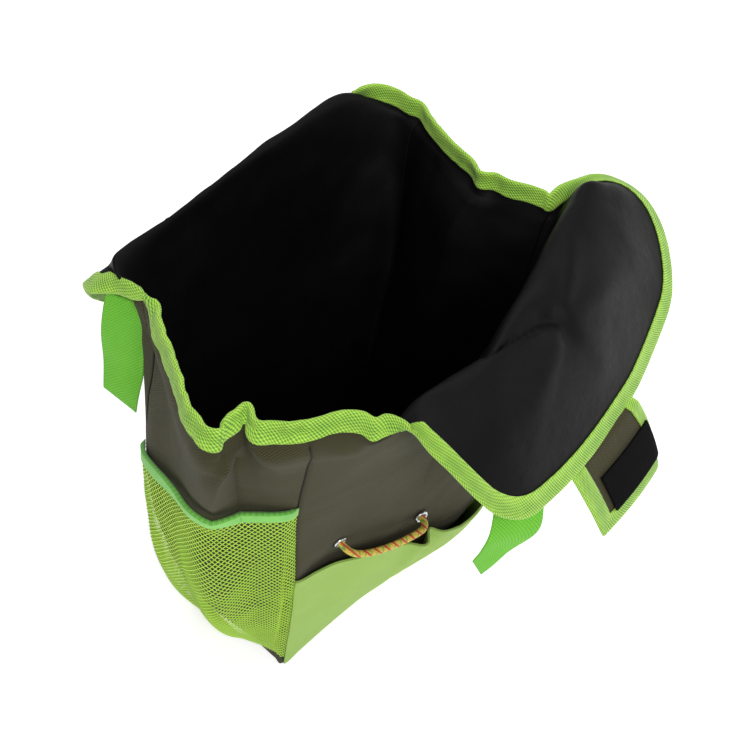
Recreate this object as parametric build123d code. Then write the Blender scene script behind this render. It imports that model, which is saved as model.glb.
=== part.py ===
from build123d import *
import math
import os

# Soft open-topped bag, millimetres.  +Z is up, the origin is the centre of the base's underside.
# The wall with the front pocket faces -Y, and the gusset with the nearer mesh pocket faces -X.

# --- driving dimensions ---------------------------------------------------------------------
BASE_WIDTH = 186.0        # along X
BASE_DEPTH = 104.0        # along Y
LOW_Z = 85.0              # height of the lowest ring of stations above the base
POCKET_Z = 165.0          # ring just above the front pocket
MESH_Z = 250.0            # ring just above the mesh pockets
OUTER_CLOTH = 1.4         # coated oxford cloth
LINING_CLOTH = 0.8
CLOTH_GAP = 0.2           # each layer stands this far off the sheet's middle surface
WEBBING = 1.2             # thickness of binding, straps and elastic
BINDING_LEAF = 15.0       # half of a 30 mm binding, folded over the edge
FOLD_GAP = 7.0            # bare fold left between a wall and its flap
BOARD_THICKNESS = 3.0
BOARD_INSET = 5.0
BASE_CLEARANCE = 1.0      # between the base's layers and the walls round them
MESH_BULGE = 17.0         # how far the netting stands off its gusset at the fullest place
MESH_MOUTH = 12.0         # and at its mouth
MESH_FULLEST = (0.08, 0.84)    # shares of half a wave that the bulge covers from foot to mouth
MESH_SIDE_POWER = 0.7     # below 1 makes the bulge fuller beside the seams
MESH_STEPS = 6
MESH_CLOTH = 1.0
MESH_BOTTOM_Z = 10.0
MESH_MOUTH_Z = 238.0
ELASTIC_HEIGHT = 10.0
POCKET_BULGE = 14.0
POCKET_POWER = 0.6        # below 1 makes the front pocket fuller beside its seams
POCKET_STEPS = 4
POCKET_BOTTOM_Z = 4.0
POCKET_HEM = 8.0
STRAP_WIDTH = 38.0
CORD_RADIUS = 3.0
CORD_CLEARANCE = 0.25
CORD_ARC_SHARE = 0.45     # share of the shorter run that each corner of the cord's route rounds off
EYELET_RADIUS = 6.5
EYELET_HEIGHT = 1.6
EYELET_BORE = 13.0        # length of the tool that bores the eyelets
KNOT_RADIUS = 5.0
KNOT_BEHIND = 5.2         # gap from the cord's end to its knot, through the wall
PATCH_WIDTH = 64.0
PATCH_HEIGHT = 28.0
PATCH_THICKNESS = 2.0
PATCH_PLACE = 0.55        # centre of the hook patch, as a share of the tab's drop
LOOP_COLUMN = 18          # the loop patch is centred between this column and the next
LOOP_SHARE = 0.3
LOOP_Z = 268.0
LOOP_GAP = 1.2
FIRST_ROW_SHARE = 0.6     # the first row of a flap is at most this far from crest to middle

HALF_W = BASE_WIDTH / 2
HALF_D = BASE_DEPTH / 2

# --- stations -------------------------------------------------------------------------------
# One column of cloth at each place, in order round the bag: the front wall from the near
# front seam to the right front seam, the right gusset, the back wall and the left gusset.
FRONT = 10                # columns 0 to 10, seams included
RIGHT = 14                # columns 10 to 14
BACK = 22                 # columns 14 to 22
COUNT = 28                # columns 22 to 28, where 28 is column 0 again
FRONT_FLAP = range(2, 10)
BACK_FLAP = range(16, 22)

BASE_RING = [
    (-93, -52), (-75, -52), (-57, -52), (-38, -52), (-15, -52), (20, -52), (48, -52), (70, -52),
    (82, -52), (88, -52),
    (93, -52), (93, -20), (93, 10), (93, 32),
    (93, 52), (78, 52), (50, 52), (15, 52), (-20, 52), (-52, 52), (-76, 52), (-85, 52),
    (-93, 52), (-93, 30), (-93, 5), (-93, -14), (-93, -34), (-93, -44),
]
LOW_RING = [
    (-95, -57), (-76, -58), (-56, -60), (-36, -66), (-11, -74), (27, -84), (60, -90), (88, -91),
    (102, -88), (109, -84),
    (114, -79), (112, -30), (108, 8), (110, 36),
    (118, 60), (98, 64), (64, 68), (24, 69), (-16, 68), (-51, 65), (-80, 61), (-100, 60),
    (-112, 62), (-114, 40), (-116, 6), (-116, -15), (-106, -38), (-100, -50),
]
POCKET_RING = [
    (-98, -61), (-76, -63), (-54, -66), (-30, -75), (-4, -86), (34, -95), (70, -98), (101, -95),
    (118, -90), (124, -84),
    (129, -76), (128, -32), (120, 8), (126, 42),
    (141, 68), (118, 78), (80, 88), (34, 90), (-11, 87), (-50, 82), (-84, 74), (-108, 72),
    (-124, 72), (-130, 46), (-134, 8), (-136, -16), (-118, -42), (-106, -55),
]
MESH_RING = [
    (-101, -66), (-75, -74), (-50, -83), (-26, -92), (4, -98), (43, -101), (82, -99), (115, -91),
    (136, -80), (144, -70),
    (149, -62), (145, -26), (134, 12), (146, 50),
    (165, 76), (142, 92), (102, 108), (46, 113), (-6, 108), (-49, 102), (-88, 92), (-112, 86),
    (-128, 78), (-140, 52), (-146, 14), (-149, -16), (-127, -46), (-112, -59),
]
SHOULDER = [
    (-105, -72, 320), (-74, -90, 320), (-46, -98, 320), (-20, -104, 325), (10, -108, 330),
    (55, -103, 335), (98, -94, 338), (138, -83, 340), (164, -72, 340), (174, -64, 338),
    (174, -57, 330), (163, -18, 330), (152, 16, 330), (165, 60, 330),
    (178, 92, 330), (165, 116, 335), (130, 132, 340), (64, 134, 340), (0, 127, 340),
    (-48, 120, 338), (-92, 113, 336), (-107, 104, 334),
    (-115, 90, 330), (-122, 62, 330), (-139, 18, 330), (-155, -26, 330), (-131, -48, 325),
    (-116, -64, 322),
]
RIM = [
    (-104, -71, 364), (-77, -94, 367), (-65, -122, 368), (-56, -167, 342), (-29, -197, 308),
    (36, -200, 295), (114, -189, 292), (205, -165, 294), (266, -128, 318), (272, -73, 356),
    (195, -46, 372), (180, -17, 374), (174, 13, 374), (187, 60, 376),
    (200, 96, 379), (192, 127, 382), (161, 161, 353), (80, 172, 304), (1, 167, 300),
    (-50, 160, 298), (-93, 156, 302), (-120, 141, 357),
    (-111, 87, 368), (-125, 49, 366), (-152, -1, 364), (-155, -28, 361), (-130, -33, 364),
    (-126, -50, 362),
]
# Where a wall folds over into its flap: the crest of the fold, and the middle of the flap.
CREST = {
    2: (-50, -111, 362), 3: (-20, -117, 377), 4: (10, -124, 382), 5: (58, -112, 385),
    6: (112, -97, 387), 7: (152, -82, 387), 8: (186, -72, 386), 9: (204, -63, 383),
    16: (150, 141, 380), 17: (76, 140, 382), 18: (2, 133, 381), 19: (-48, 128, 379),
    20: (-92, 124, 378), 21: (-112, 117, 368),
}
MID_FLAP = {
    2: (-54, -117, 368), 3: (-34, -141, 370), 4: (-6, -160, 361), 5: (62, -152, 366),
    6: (122, -140, 369), 7: (178, -120, 368), 8: (222, -94, 370), 9: (234, -68, 375),
    16: (154, 149, 375), 17: (79, 150, 368), 18: (2, 143, 366), 19: (-50, 137, 364),
    20: (-94, 133, 363), 21: (-115, 128, 366),
}

# Height of the front pocket's mouth at each column of the front wall: it drops past its pleat.
POCKET_MOUTH = [152, 151, 150, 148, 146, 132, 114, 109, 104, 103, 102]

# Closure tab: the ends of its sewn edge, and how it drops from there to its free edge.
TAB_SEAM = (Vector(42, -200, 290), Vector(136, -191, 289))
TAB_DROP = Vector(14, -35, -54)
TAB_LEAF = 12.5           # half of a 25 mm binding round the tab
TAB_TAPER = 3.0           # the free edge is this much shorter at each end

# Straps: the two ends of each sewn edge, and how the strap drops from it to its free edge.
STRAPS = {
    "strap_front_left": ((-29, -176, 300), (6, -190, 300), (-8, 6, -78)),
    "strap_front_right": ((207, -150, 300), (232, -126, 312), (-4, 6, -62)),
    "strap_back_left": ((-125, 129, 340), (-120, 93, 336), (-8, 0, -90)),
    "strap_back_right": ((188, 132, 374), (198, 96, 366), (2, 2, -82)),
}

# The cord's route from eyelet to eyelet, and the way it leaves each eyelet.
CORD_ROUTE = [
    (-54, -68, 168), (-56, -78, 166), (-46, -87, 160), (-24, -96, 157), (0, -103, 157),
    (15, -105, 158), (18, -94, 158),
]


# --- small helpers --------------------------------------------------------------------------
def between(a, b, t):
    return a + (b - a) * t


def towards(a, b, distance):
    """The point on the way from a to b, this far from a."""
    return a + (b - a).normalized() * distance


def ring_at(points, z):
    return [Vector(x, y, z) for x, y in points]


def wall_rows():
    """Rows of the bag's middle surface that stay with the walls, from the base to the top."""
    shoulder = [Vector(*p) for p in SHOULDER]
    top = [Vector(*p) for p in RIM]
    for i, crest in CREST.items():
        top[i] = towards(Vector(*crest), shoulder[i], FOLD_GAP)
    rows = [ring_at(BASE_RING, 0), ring_at(LOW_RING, LOW_Z)]
    rows += [ring_at(POCKET_RING, POCKET_Z), ring_at(MESH_RING, MESH_Z), shoulder]
    rows.append([between(a, b, 0.5) for a, b in zip(shoulder, top)])
    rows.append(top)
    return rows


def flap_rows(columns):
    """Rows of a flap's middle surface, from the fold to the rim."""
    crest = [Vector(*CREST[i]) for i in columns]
    middle = [Vector(*MID_FLAP[i]) for i in columns]
    rim = [Vector(*RIM[i]) for i in columns]
    first = [towards(a, b, min(FOLD_GAP, (b - a).length * FIRST_ROW_SHARE))
             for a, b in zip(crest, middle)]
    return [first, middle, [between(a, b, 0.5) for a, b in zip(middle, rim)], rim]


def normals(rows, closed):
    """Outward normal at each point: the outer cloth's side of the middle surface."""
    count = len(rows[0])
    result = []
    for r in range(len(rows)):
        line = []
        for c in range(count):
            after = (c + 1) % count if closed else min(c + 1, count - 1)
            before = (c - 1) % count if closed else max(c - 1, 0)
            along = rows[r][after] - rows[r][before]
            up = rows[min(r + 1, len(rows) - 1)][c] - rows[max(r - 1, 0)][c]
            line.append(along.cross(up).normalized())
        result.append(line)
    return result


def quad(a, b, c, d):
    """Two triangles that fill a four-sided patch."""
    corners = ((a, b, c), (a, c, d))
    return [Face(Wire.make_polygon(list(tri), close=True)) for tri in corners]


def solid_from(faces):
    """Closed solid from its faces, turned the right way out."""
    body = Solid(Shell(faces))
    return body if body.volume > 0 else Solid(Shell(faces[::-1]))


def layer(outer, inner):
    """Closed sheet between two grids of the same size."""
    last_row = len(outer) - 1
    last = len(outer[0]) - 1
    faces = []
    for r in range(last_row):
        for c in range(last):
            faces += quad(outer[r][c], outer[r][c + 1], outer[r + 1][c + 1], outer[r + 1][c])
            faces += quad(inner[r][c], inner[r + 1][c], inner[r + 1][c + 1], inner[r][c + 1])
        faces += quad(outer[r][0], outer[r + 1][0], inner[r + 1][0], inner[r][0])
        faces += quad(outer[r + 1][last], outer[r][last], inner[r][last], inner[r + 1][last])
    for c in range(last):
        faces += quad(outer[0][c + 1], outer[0][c], inner[0][c], inner[0][c + 1])
        faces += quad(outer[last_row][c], outer[last_row][c + 1],
                      inner[last_row][c + 1], inner[last_row][c])
    return solid_from(faces)


def offset_grid(rows, ways, distance):
    return [[p + n * distance for p, n in zip(line, way)] for line, way in zip(rows, ways)]


def cut(grid, first, last):
    """Columns first to last of a grid that closes on itself."""
    count = len(grid[0])
    return [[line[i % count] for i in range(first, last + 1)] for line in grid]


def above_base(grid):
    """No point of the cloth goes below the surface that the bag stands on."""
    return [[Vector(p.X, p.Y, max(p.Z, 0)) for p in line] for line in grid]


def cloth(rows, ways, low, high):
    return layer(above_base(offset_grid(rows, ways, high)), above_base(offset_grid(rows, ways, low)))


def folded_binding(edge, inner, ways):
    """U-shaped strip over an edge: edge points, points inside the sheet, and normals."""
    low = -(CLOTH_GAP + LINING_CLOTH + CLOTH_GAP)
    high = CLOTH_GAP + OUTER_CLOTH + CLOTH_GAP
    rings = []
    for p, q, n in zip(edge, inner, ways):
        down = (q - p).normalized()
        profile = [
            (BINDING_LEAF, high + WEBBING), (-CLOTH_GAP - WEBBING, high + WEBBING),
            (-CLOTH_GAP - WEBBING, low - WEBBING), (BINDING_LEAF, low - WEBBING),
            (BINDING_LEAF, low), (-CLOTH_GAP, low), (-CLOTH_GAP, high), (BINDING_LEAF, high),
        ]
        rings.append([p + down * d + n * h for d, h in profile])
    faces = []
    size = len(rings[0])
    for here, there in zip(rings, rings[1:]):
        for k in range(size):
            faces += quad(here[k], there[k], there[(k + 1) % size], here[(k + 1) % size])
    for ring in (rings[0], rings[-1]):
        for a, b, c, d in ((0, 1, 6, 7), (1, 2, 5, 6), (2, 3, 4, 5)):
            faces += quad(ring[a], ring[b], ring[c], ring[d])
    return solid_from(faces)


def slab(corners, way, thickness):
    """Flat four-cornered sheet, from its corners out along a direction."""
    top = [c + way * thickness for c in corners]
    return layer([[top[0], top[1]], [top[3], top[2]]], [[corners[0], corners[1]], [corners[3], corners[2]]])


def save(name, shape):
    export_step(shape, os.path.join("parts", name + ".step"))


# --- the bag's walls ------------------------------------------------------------------------
def make_walls(rows, ways):
    spans = {"front": (0, FRONT), "right": (FRONT, RIGHT), "back": (RIGHT, BACK), "left": (BACK, COUNT)}
    names = {"front": "front_panel", "right": "right_gusset", "back": "back_panel", "left": "left_gusset"}
    for side, (first, last) in spans.items():
        part_rows = cut(rows, first, last)
        part_ways = cut(ways, first, last)
        save(names[side], cloth(part_rows, part_ways, CLOTH_GAP, CLOTH_GAP + OUTER_CLOTH))
        save(side + "_lining", cloth(part_rows, part_ways, -CLOTH_GAP - LINING_CLOTH, -CLOTH_GAP))


def make_base():
    inset = CLOTH_GAP + LINING_CLOTH + BASE_CLEARANCE
    width = BASE_WIDTH - 2 * inset
    depth = BASE_DEPTH - 2 * inset
    save("base_panel", Pos(0, 0, OUTER_CLOTH / 2) * Box(width, depth, OUTER_CLOTH))
    board_z = OUTER_CLOTH + CLOTH_GAP
    board = Box(BASE_WIDTH - 2 * BOARD_INSET, BASE_DEPTH - 2 * BOARD_INSET, BOARD_THICKNESS)
    board = fillet(board.edges().filter_by(Axis.Z), BOARD_INSET)
    save("base_board", Pos(0, 0, board_z + BOARD_THICKNESS / 2) * board)
    lining_z = board_z + BOARD_THICKNESS + CLOTH_GAP
    save("base_lining", Pos(0, 0, lining_z + LINING_CLOTH / 2) * Box(width, depth, LINING_CLOTH))


# --- flaps and the binding round the mouth --------------------------------------------------
def make_flap(name, columns):
    rows = flap_rows(columns)
    ways = normals(rows, False)
    save(name, cloth(rows, ways, CLOTH_GAP, CLOTH_GAP + OUTER_CLOTH))
    save(name + "_lining", cloth(rows, ways, -CLOTH_GAP - LINING_CLOTH, -CLOTH_GAP))
    save(name + "_binding", folded_binding(rows[-1], rows[-2], ways[-1]))


def make_mouth_bindings(rows, ways):
    """The stretches of binding that stay with the bag, between the two flaps."""
    stretches = {
        "right_mouth_binding": range(FRONT_FLAP[-1] + 1, BACK_FLAP[0]),
        "left_mouth_binding": range(BACK_FLAP[-1] + 1, COUNT + FRONT_FLAP[0]),
    }
    for name, columns in stretches.items():
        edge = [rows[-1][i % COUNT] for i in columns]
        inner = [rows[-2][i % COUNT] for i in columns]
        way = [ways[-1][i % COUNT] for i in columns]
        save(name, folded_binding(edge, inner, way))


# --- pockets --------------------------------------------------------------------------------
def wall_point(rows, ways, column, z):
    """Point of the wall's middle surface on a column, at a height, with its normal."""
    i = column % COUNT
    for r in range(len(rows) - 1):
        low, high = rows[r][i], rows[r + 1][i]
        if z <= high.Z or r == len(rows) - 2:
            t = (z - low.Z) / (high.Z - low.Z)
            return between(low, high, t), between(ways[r][i], ways[r + 1][i], t).normalized()


def make_mesh_pocket(side, first, last, rows, ways):
    """Netting hung on a gusset from seam to seam, with an elastic band along its mouth."""
    start = CLOTH_GAP + OUTER_CLOTH + CLOTH_GAP
    grid = []
    directions = []
    for k in range(MESH_STEPS + 1):
        z = between(MESH_BOTTOM_Z, MESH_MOUTH_Z, k / MESH_STEPS)
        fullness = math.sin(math.pi * between(*MESH_FULLEST, k / MESH_STEPS))
        depth = max(MESH_BULGE * fullness, MESH_MOUTH) if k else 0
        line = []
        way = []
        for column in range(first, last + 1):
            p, n = wall_point(rows, ways, column, z)
            across = math.sin(math.pi * (column - first) / (last - first)) ** MESH_SIDE_POWER
            line.append(p + n * (start + depth * across))
            way.append(n)
        grid.append(line)
        directions.append(way)
    save("mesh_pocket_" + side, layer(offset_grid(grid, directions, MESH_CLOTH), grid))
    mouth = grid[-1]
    below = [towards(a, b, ELASTIC_HEIGHT) for a, b in zip(mouth, grid[-2])]
    band = [below, mouth]
    ways_here = [directions[-2], directions[-1]]
    face = MESH_CLOTH + CLOTH_GAP
    elastic = layer(offset_grid(band, ways_here, face + WEBBING), offset_grid(band, ways_here, face))
    save("pocket_elastic_" + side, elastic)


def make_front_pocket(rows, ways):
    start = CLOTH_GAP + OUTER_CLOTH + CLOTH_GAP
    grid = []
    directions = []
    for k in range(POCKET_STEPS + 1):
        share = k / POCKET_STEPS
        line = []
        way = []
        for column in range(FRONT + 1):
            p, n = wall_point(rows, ways, column, between(POCKET_BOTTOM_Z, POCKET_MOUTH[column], share))
            across = math.sin(math.pi * column / FRONT) ** POCKET_POWER
            line.append(p + n * (start + POCKET_BULGE * across * share ** POCKET_POWER))
            way.append(n)
        grid.append(line)
        directions.append(way)
    save("front_pocket", layer(offset_grid(grid, directions, OUTER_CLOTH), grid))
    hem_low = [towards(a, b, POCKET_HEM) for a, b in zip(grid[-1], grid[-2])]
    band = [hem_low, grid[-1]]
    ways_here = [directions[-2], directions[-1]]
    face = OUTER_CLOTH + CLOTH_GAP
    hem = layer(offset_grid(band, ways_here, face + WEBBING), offset_grid(band, ways_here, face))
    save("front_pocket_hem", hem)


# --- cord, eyelets and knots ----------------------------------------------------------------
def make_cord():
    points = [Vector(*p) for p in CORD_ROUTE]
    radii = []
    for a, b, c in zip(points, points[1:], points[2:]):
        turn = math.radians((b - a).get_angle(c - b))
        shorter = min((b - a).length, (c - b).length)
        radii.append(CORD_ARC_SHARE * shorter / math.tan(turn / 2))
    path = FilletPolyline(*points, radius=radii)
    start = Plane(origin=path @ 0, z_dir=path % 0)
    tube = sweep(start * Circle(CORD_RADIUS), path=path)
    print("cord radii", [round(r, 1) for r in radii], "length", round(path.length, 1),
          "volume ratio", round(tube.volume / (math.pi * CORD_RADIUS ** 2 * path.length), 4))
    save("utility_cord", tube)
    return points


def make_eyelets(points):
    rings = []
    knots = []
    for end, beside in ((points[0], points[1]), (points[-1], points[-2])):
        out = (beside - end).normalized()
        place = Plane(origin=end + out * CORD_CLEARANCE, z_dir=out)
        ring = place * Pos(0, 0, EYELET_HEIGHT / 2) * Cylinder(EYELET_RADIUS, EYELET_HEIGHT)
        ring -= place * Cylinder(CORD_RADIUS + CORD_CLEARANCE, EYELET_BORE)
        rings.append(ring)
        inside = end - out * (KNOT_BEHIND + KNOT_RADIUS)
        knots.append(Pos(inside.X, inside.Y, inside.Z) * Sphere(KNOT_RADIUS))
    save("cord_eyelets", Compound(children=rings))
    save("cord_knots", Compound(children=knots))


# --- closure tab ----------------------------------------------------------------------------
def make_closure_tab():
    a, b = TAB_SEAM
    across = (b - a).normalized()
    d = a + TAB_DROP + across * TAB_TAPER
    c = b + TAB_DROP - across * TAB_TAPER
    down = TAB_DROP.normalized()
    out = down.cross(across).normalized()
    save("closure_tab", slab([a, b, c, d], out, OUTER_CLOTH))
    lift = out * (OUTER_CLOTH + CLOTH_GAP)
    side = across * TAB_LEAF
    strips = [
        [a, a + side, d + side, d],
        [b - side, b, c, c - side],
        [d + side - down * TAB_LEAF, c - side - down * TAB_LEAF, c - side, d + side],
    ]
    trims = [slab([corner + lift for corner in strip], out, WEBBING) for strip in strips]
    save("closure_tab_binding", Compound(children=trims))
    face = between(between(a, b, 0.5), between(d, c, 0.5), PATCH_PLACE) + lift
    half = across * (PATCH_WIDTH / 2)
    height = down * (PATCH_HEIGHT / 2)
    corners = [face - half - height, face + half - height, face + half + height, face - half + height]
    save("hook_patch", slab(corners, out, PATCH_THICKNESS))


def make_loop_patch(rows, ways):
    """The soft half of the closure, sewn outside the back wall."""
    p, n = wall_point(rows, ways, LOOP_COLUMN, LOOP_Z)
    q = wall_point(rows, ways, LOOP_COLUMN + 1, LOOP_Z)[0]
    centre = between(p, q, LOOP_SHARE) + n * (CLOTH_GAP + OUTER_CLOTH + LOOP_GAP)
    along = (q - p).normalized()
    up = n.cross(along).normalized()
    half = along * (PATCH_WIDTH / 2)
    height = up * (PATCH_HEIGHT / 2)
    corners = [centre - half - height, centre + half - height, centre + half + height, centre - half + height]
    save("loop_patch", slab(corners, n, PATCH_THICKNESS))


# --- straps ---------------------------------------------------------------------------------
def make_straps():
    for name, (first, second, drop) in STRAPS.items():
        a = Vector(*first)
        b = a + (Vector(*second) - a).normalized() * STRAP_WIDTH
        fall = Vector(*drop)
        way = (b - a).cross(fall).normalized()
        save(name, slab([a, b, b + fall, a + fall], way, WEBBING))


def main():
    os.makedirs("parts", exist_ok=True)
    rows = wall_rows()
    ways = normals(rows, True)
    make_walls(rows, ways)
    make_base()
    make_flap("front_flap", FRONT_FLAP)
    make_flap("back_flap", BACK_FLAP)
    make_mouth_bindings(rows, ways)
    make_mesh_pocket("left", BACK, COUNT, rows, ways)
    make_mesh_pocket("right", FRONT, RIGHT, rows, ways)
    make_front_pocket(rows, ways)
    make_eyelets(make_cord())
    make_closure_tab()
    make_loop_patch(rows, ways)
    make_straps()


main()
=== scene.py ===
import math
import bpy
import numpy as np
from mathutils import Matrix, Vector, noise


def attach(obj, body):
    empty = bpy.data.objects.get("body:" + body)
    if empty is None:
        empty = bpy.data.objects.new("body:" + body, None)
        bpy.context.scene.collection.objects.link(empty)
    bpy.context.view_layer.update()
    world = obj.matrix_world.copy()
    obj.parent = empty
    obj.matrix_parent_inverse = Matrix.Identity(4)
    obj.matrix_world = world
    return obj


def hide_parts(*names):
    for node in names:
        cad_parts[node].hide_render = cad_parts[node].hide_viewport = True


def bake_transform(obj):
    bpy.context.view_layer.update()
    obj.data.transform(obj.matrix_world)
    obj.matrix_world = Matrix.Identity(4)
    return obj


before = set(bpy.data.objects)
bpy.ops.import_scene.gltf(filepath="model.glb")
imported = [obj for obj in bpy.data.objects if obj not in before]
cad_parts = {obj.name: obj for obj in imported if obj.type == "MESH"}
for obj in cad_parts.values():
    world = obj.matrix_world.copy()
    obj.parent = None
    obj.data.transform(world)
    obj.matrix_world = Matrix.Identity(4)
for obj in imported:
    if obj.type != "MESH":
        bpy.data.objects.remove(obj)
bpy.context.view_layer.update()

MM = 0.001
# --- driving sizes, millimetres ---
OUTER_CLOTH = 1.2
LINING_CLOTH = 0.7
LAYER_GAP = 0.15
TAPE = 0.9                # thickness of binding tape and webbing
BINDING_LEAF = 15.0       # half of a 30 mm tape, folded over the rim
ELASTIC_HEIGHT = 10.0
STRAP_WIDTH = 38.0
CORD_DIAMETER = 6.0
MESH_WIDE, MESH_TALL = 4.2, 5.0    # one diamond of the netting
STRAND = 0.38             # radius of a netting strand

# --- camera ---
CAMERA_AZIMUTH = -54.0    # degrees round the bag from straight in front
CAMERA_ELEVATION = 48.0
CAMERA_ROLL = 8.0
CAMERA_PLACE = (-508.2, -410.1, 1002.0)
CAMERA_LENS = 60.0
SENSOR = 36.0

# --- the bag's middle surface ---
# Each ring goes once round the bag.  Its places are (u, x, y, z), where u runs from 0 at the near
# front seam to 10 at the right front seam, 14 at the right back seam, 22 at the left back seam and
# 28 back at the near front seam.
NEAR_FRONT, RIGHT_FRONT, RIGHT_BACK, LEFT_BACK, ROUND = 0, 10, 14, 22, 28


def level(z, points):
    """A ring at one height, with a place at every whole u."""
    return [(u, x, y, z) for u, (x, y) in enumerate(points)]


BASE = level(0, [
    (-93, -52), (-75, -52), (-57, -52), (-38, -52), (-15, -52), (20, -52), (48, -52), (70, -52),
    (82, -52), (88, -52),
    (93, -52), (93, -20), (93, 10), (93, 32),
    (93, 52), (78, 52), (50, 52), (15, 52), (-20, 52), (-52, 52), (-76, 52), (-85, 52),
    (-93, 52), (-93, 30), (-93, 5), (-93, -14), (-93, -34), (-93, -44),
])
LOW = level(85, [
    (-95, -57), (-76, -58), (-56, -60), (-36, -66), (-11, -74), (27, -84), (60, -90), (88, -91),
    (102, -88), (109, -84),
    (114, -79), (112, -30), (108, 8), (110, 36),
    (118, 60), (98, 64), (64, 68), (24, 69), (-16, 68), (-51, 65), (-80, 61), (-100, 60),
    (-115, 64), (-126, 44), (-131, 8), (-129, -17), (-111, -39), (-100, -50),
])
POCKET = level(165, [
    (-98, -61), (-76, -63), (-54, -66), (-30, -75), (-4, -86), (34, -95), (70, -98), (101, -95),
    (118, -90), (124, -84),
    (129, -76), (128, -32), (120, 8), (126, 42),
    (141, 68), (118, 78), (80, 88), (34, 90), (-11, 87), (-50, 82), (-84, 74), (-108, 72),
    (-125, 72), (-138, 49), (-144, 9), (-144, -17), (-120, -42), (-106, -54),
])
NETTING = level(250, [
    (-103, -63), (-75, -74), (-50, -83), (-26, -92), (4, -98), (43, -101), (82, -99), (115, -91),
    (136, -80), (144, -70),
    (149, -62), (145, -26), (134, 12), (146, 50),
    (165, 76), (142, 92), (102, 108), (46, 113), (-6, 108), (-49, 102), (-88, 92), (-112, 86),
    (-125, 74), (-140, 50), (-147, 14), (-150, -17), (-127, -45), (-113, -57),
])
SHOULDER = [
    (0, -105, -71, 312), (1, -80, -93, 322), (2, -56, -103, 330), (3, -30, -108, 339),
    (4, 4, -112, 345), (5, 50, -105, 348), (6, 98, -94, 348), (7, 138, -83, 348),
    (8, 164, -72, 346), (9, 172, -62, 338),
    (10, 171, -55, 322), (11, 160, -17, 321), (12, 149, 15, 321), (13, 164, 60, 322),
    (14, 180, 89, 326), (15, 168, 115, 338), (16, 134, 130, 346), (17, 66, 132, 347),
    (18, 0, 125, 345), (19, -48, 119, 342), (20, -92, 111, 338), (21, -106, 100, 334),
    (22, -112, 77, 326), (23, -127, 47, 318), (24, -153, 4, 312), (25, -161, -29, 310),
    (26, -134, -46, 312), (27, -121, -62, 312),
]
# Over each flap the wall turns over a crest and falls away outside.  Between the flaps the bound
# rim leans out from the wall under it.
CREST = [
    (0, -111, -79, 338), (1, -85, -100, 344), (1.7, -68, -109, 360), (2.2, -50, -112, 374),
    (3, -20, -117, 379), (4, 10, -124, 383), (5, 58, -112, 386), (6, 112, -97, 388),
    (7, 152, -82, 388), (8, 186, -72, 387), (9, 204, -63, 384),
    (10, 184, -51, 350), (11, 171, -17, 350), (12, 162, 12, 350), (13, 176, 60, 352),
    (14, 188, 93, 356), (15, 180, 121, 368), (16, 150, 139, 382), (17, 76, 138, 383),
    (18, 2, 131, 382), (19, -48, 126, 380), (20, -92, 123, 379), (21, -111, 115, 373),
    (22, -115, 79, 350), (23, -134, 42, 342), (24, -161, -8, 340), (24.75, -166, -34, 338),
    (25.2, -155, -39, 338), (26.1, -135, -42, 338), (27, -134, -62, 338),
]
FLAP_MIDDLE = [
    (2.2, -57, -122, 371), (3, -34, -141, 370), (4, -6, -160, 361), (5, 62, -152, 366),
    (6, 122, -140, 369), (7, 178, -120, 368), (8, 222, -94, 370), (9, 234, -68, 376),
]
BACK_MIDDLE = [
    (16, 157, 150, 377), (17, 79, 149, 368), (18, 2, 141, 366), (19, -50, 135, 364),
    (20, -94, 133, 364), (20.7, -107, 129, 366), (21.2, -109, 125, 367), (21.6, -110, 112, 369),
    (21.85, -109, 98, 369),
]
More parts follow.
